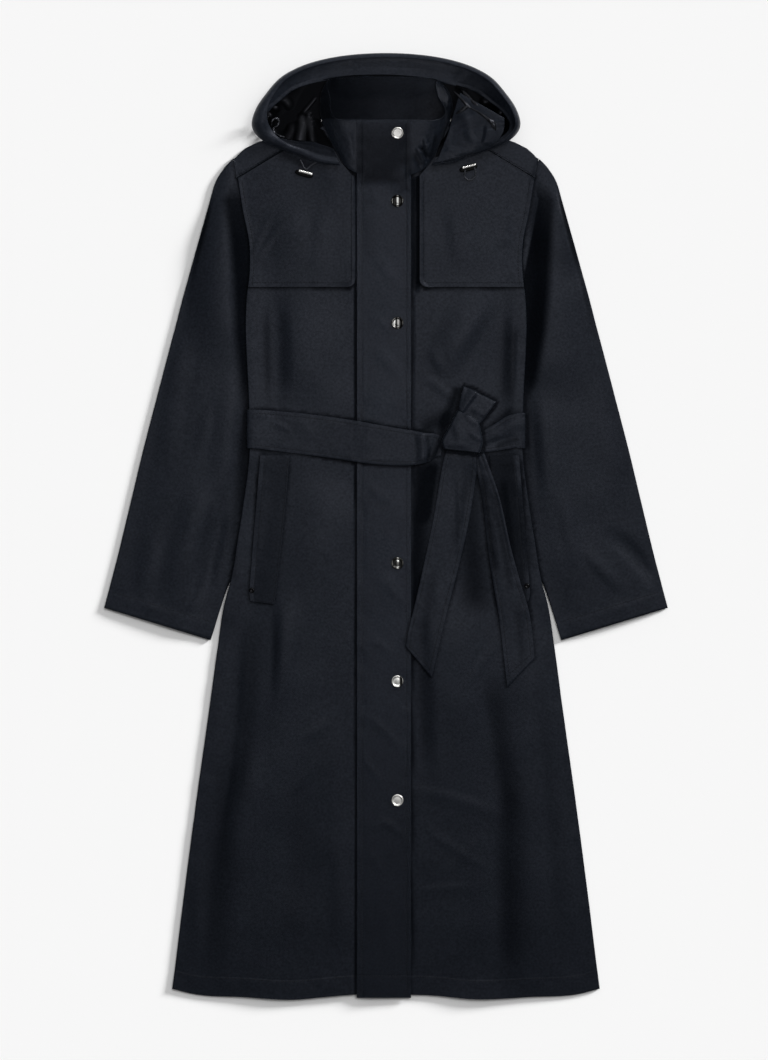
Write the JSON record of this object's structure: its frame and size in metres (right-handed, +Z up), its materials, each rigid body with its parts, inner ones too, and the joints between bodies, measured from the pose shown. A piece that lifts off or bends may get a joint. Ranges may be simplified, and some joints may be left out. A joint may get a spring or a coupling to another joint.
{
  "type": "hooded raincoat",
  "caption": "Long belted raincoat laid flat on its back, with hood, stand collar, snap placket, storm flaps, welt pockets and a knotted belt.",
  "frame": {"origin": "centre of the coat's outline from above, on the surface that it lies on", "axes": "+Y from hem to hood, +X towards the wearer's left, +Z up out of the coat's front"},
  "size_m": [0.759, 1.2765, 0.0453],
  "materials": {
    "shell_cloth": "dark navy coated twill, soft matt with a low sheen",
    "lining_cloth": "near-black satin lining",
    "snap_metal": "bright nickel",
    "black_plastic": "moulded black",
    "black_cord": "braided black"
  },
  "bodies": {
    "root": {"back_panel": "shell_cloth", "belt_back_run": "shell_cloth", "belt_front_run": "shell_cloth", "belt_knot": "shell_cloth", "belt_loop": "shell_cloth", "belt_side_run": "shell_cloth", "belt_tail_back": "shell_cloth", "belt_tail_front": "shell_cloth", "collar": "shell_cloth", "drawcord_left": "black_cord", "drawcord_right": "black_cord", "front_left": "shell_cloth", "front_right": "shell_cloth", "hood_facing": "shell_cloth", "hood_front_facing": "shell_cloth", "hood_lining": "lining_cloth", "hood_shell": "shell_cloth", "placket": "shell_cloth", "pocket_rivet_left": "snap_metal", "pocket_rivet_right": "snap_metal", "pocket_welt_left": "shell_cloth", "pocket_welt_right": "shell_cloth", "shoulder_yoke_left": "shell_cloth", "shoulder_yoke_right": "shell_cloth", "sleeve_under_left": "shell_cloth", "sleeve_under_right": "shell_cloth", "sleeve_upper_left": "shell_cloth", "sleeve_upper_right": "shell_cloth", "snap_1": "snap_metal", "snap_2": "snap_metal", "snap_3": "snap_metal", "snap_4": "snap_metal", "snap_5": "snap_metal", "snap_6": "snap_metal", "storm_flap_left": "shell_cloth", "storm_flap_right": "shell_cloth", "toggle_bar_left": "snap_metal", "toggle_bar_right": "snap_metal", "toggle_stop_left": "black_plastic", "toggle_stop_right": "black_plastic"}
  },
  "joints": []
}
